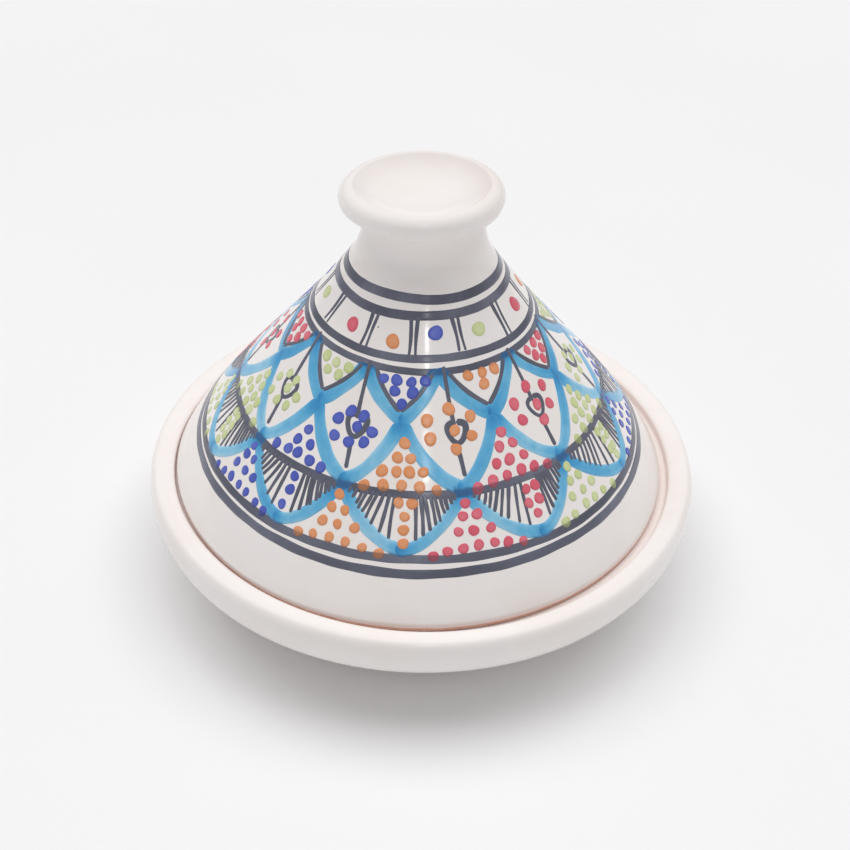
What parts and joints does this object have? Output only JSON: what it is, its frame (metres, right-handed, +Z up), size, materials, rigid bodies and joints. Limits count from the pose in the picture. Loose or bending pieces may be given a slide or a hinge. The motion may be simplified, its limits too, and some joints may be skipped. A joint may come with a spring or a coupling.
{
  "type": "tagine pot",
  "caption": "Glazed earthenware tagine: a shallow footed dish with a lid seat inside its rim, and a conical hand-painted lid with a saucer knob that lifts off.",
  "frame": {"origin": "on the table, under the middle of the foot ring", "axes": "+Z up the pot's turning axis; the front of the pot faces -Y"},
  "size_m": [0.25, 0.25, 0.1835],
  "materials": {
    "glazed_dish": "glossy tin-white glaze",
    "glazed_lid": "glossy tin-white glaze",
    "glazed_knob": "glossy tin-white glaze",
    "bare_clay": "matt unglazed terracotta",
    "charcoal_paint": "painted underglaze line, glossy",
    "turquoise_paint": "painted wash, glossy",
    "cobalt_paint": "raised enamel dot, glossy",
    "orange_paint": "raised enamel dot, glossy",
    "red_paint": "raised enamel dot, glossy",
    "green_paint": "raised enamel dot, glossy"
  },
  "bodies": {
    "dish": {"base_dish": "glazed_dish"},
    "lid": {"lid_cone": "glazed_lid", "lid_knob": "glazed_knob"}
  },
  "joints": [
    {"name": "lid_lift", "type": "slide", "parent": "dish", "child": "lid", "axis": [0, 0, 1], "range_m": [0, 0.12]}
  ]
}
